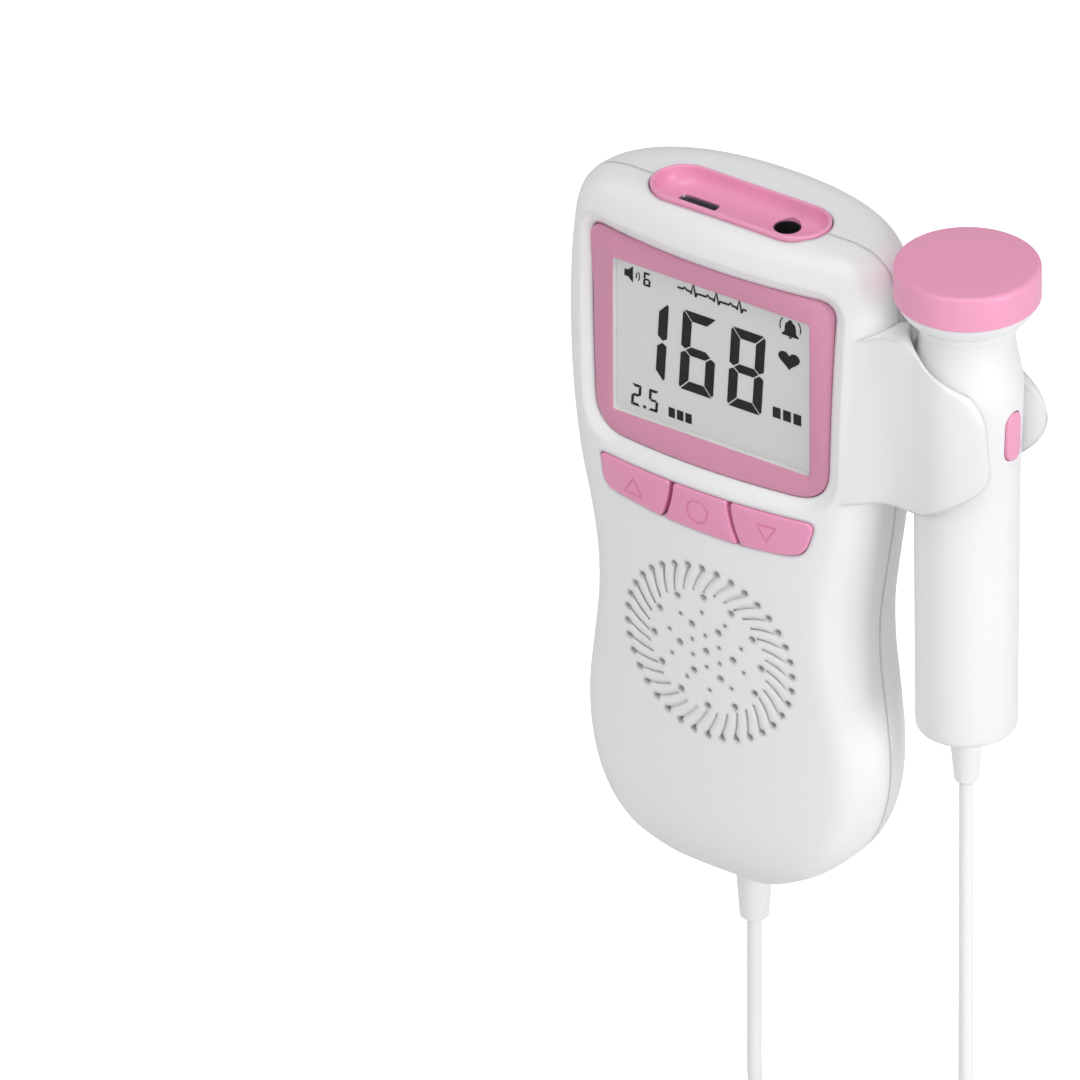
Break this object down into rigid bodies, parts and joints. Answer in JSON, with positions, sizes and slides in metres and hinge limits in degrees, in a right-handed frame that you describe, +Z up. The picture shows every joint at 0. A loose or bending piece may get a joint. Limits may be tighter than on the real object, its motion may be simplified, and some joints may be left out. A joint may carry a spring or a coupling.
{
  "type": "fetal doppler monitor",
  "caption": "Hand-held fetal doppler monitor: waisted body with framed screen, key row, perforated speaker grille and a corded round probe in a C-shaped side clip.",
  "frame": {"origin": "inside the body's waist, where a hand holds it, on the line of the body's cable outlet", "axes": "+Z up the body towards the port tray, -Y out of the screen, +X towards the probe in its clip"},
  "size_m": [0.0917, 0.0318, 0.2241],
  "materials": {
    "white_abs": "fine matt gloss",
    "pink_abs": "satin",
    "clear_pmma": "polished",
    "display_glass": "polished",
    "diffuser": "frosted",
    "black_plastic": "moulded",
    "board": "solder mask",
    "steel": "plated",
    "paper": "pressed paper",
    "pouch": "laminated foil",
    "cable_pvc": "soft PVC",
    "ceramic": "fired"
  },
  "bodies": {
    "housing": {"front_shell": "white_abs", "rear_shell": "white_abs", "lcd_bezel": "pink_abs", "lcd_lens": "clear_pmma", "lcd_panel": "display_glass", "lcd_backlight": "diffuser", "key_switch_up": "black_plastic", "key_switch_select": "black_plastic", "key_switch_down": "black_plastic", "main_board": "board", "board_screw_1": "steel", "board_screw_2": "steel", "speaker_frame": "steel", "speaker_cone": "paper", "speaker_magnet": "steel", "battery": "pouch", "port_tray": "pink_abs", "usb_socket": "steel", "audio_jack": "black_plastic", "case_screw_1": "steel", "case_screw_2": "steel", "case_screw_3": "steel", "case_screw_4": "steel", "body_relief": "cable_pvc", "cord_body_drop": "cable_pvc", "cord_hank": "cable_pvc", "hank_tie": "black_plastic"},
    "probe": {"probe_handle": "white_abs", "probe_head": "white_abs", "probe_cap": "pink_abs", "crystal_send": "ceramic", "crystal_receive": "ceramic", "crystal_backing": "black_plastic", "probe_board": "board", "probe_switch": "black_plastic", "probe_relief": "cable_pvc", "cord_probe_drop": "cable_pvc"},
    "up_key": {"key_up": "pink_abs"},
    "select_key": {"key_select": "pink_abs"},
    "down_key": {"key_down": "pink_abs"},
    "probe_key": {"probe_button": "pink_abs"}
  },
  "joints": [
    {"name": "probe_lift", "type": "slide", "parent": "housing", "child": "probe", "axis": [0, 0, 1], "range_m": [0, 0.085]},
    {"name": "up_press", "type": "slide", "parent": "housing", "child": "up_key", "axis": [0, 1, 0], "range_m": [0, 0.0005], "stiffness_N_per_m": 1200, "springref_m": -0.0005},
    {"name": "select_press", "type": "slide", "parent": "housing", "child": "select_key", "axis": [0, 1, 0], "range_m": [0, 0.0005], "stiffness_N_per_m": 1200, "springref_m": -0.0005},
    {"name": "down_press", "type": "slide", "parent": "housing", "child": "down_key", "axis": [0, 1, 0], "range_m": [0, 0.0005], "stiffness_N_per_m": 1200, "springref_m": -0.0005},
    {"name": "probe_button_press", "type": "slide", "parent": "probe", "child": "probe_key", "axis": [-1, 0, 0], "range_m": [0, 0.0005], "stiffness_N_per_m": 1200, "springref_m": -0.0005}
  ]
}
